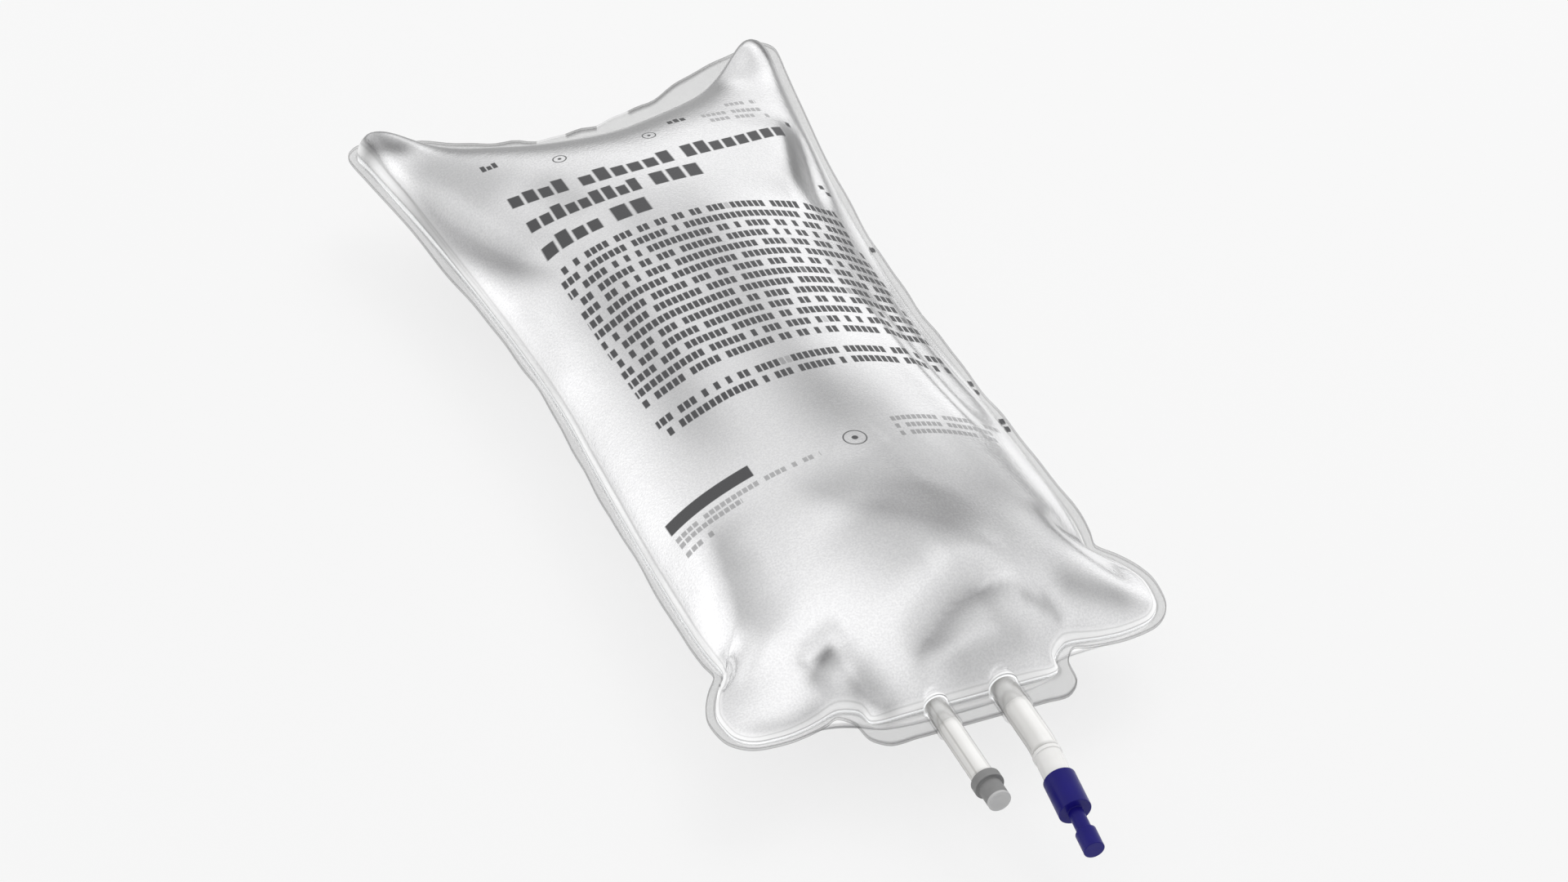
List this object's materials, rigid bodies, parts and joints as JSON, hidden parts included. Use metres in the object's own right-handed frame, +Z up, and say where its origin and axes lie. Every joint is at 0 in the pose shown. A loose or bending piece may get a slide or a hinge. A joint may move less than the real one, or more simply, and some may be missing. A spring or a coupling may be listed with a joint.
{
  "type": "iv fluid bag",
  "caption": "Clear flexible infusion bag filled with fluid, with a welded flange, hanger slot, a stoppered injection port and an outlet port with a pull-off closure.",
  "frame": {"origin": "on the surface that the bag lies on, under the middle of its bounding box", "axes": "+Y towards the hanger end, -Y towards the ports, +Z up through the printed front"},
  "size_m": [0.1342, 0.3542, 0.05],
  "materials": {
    "front_film": "clear soft film, glossy, printed in dark grey",
    "back_film": "clear soft film, glossy",
    "saline": "clear water-like fluid",
    "injection_tube": "clear soft tube",
    "stopper": "matte grey rubber",
    "outlet_tube": "clear soft tube",
    "membrane_tube": "clear soft tube",
    "closure": "satin blue moulded plastic"
  },
  "bodies": {
    "bag": {"front_film": "front_film", "back_film": "back_film", "saline": "saline", "injection_port_tube": "injection_tube", "injection_stopper": "stopper", "administration_port_tube": "outlet_tube", "membrane_tube": "membrane_tube"},
    "closure": {"port_closure": "closure"}
  },
  "joints": [
    {"name": "closure_pull", "type": "slide", "parent": "bag", "child": "closure", "axis": [-0.0605, -0.9896, -0.1305], "range_m": [0, 0.03]}
  ]
}
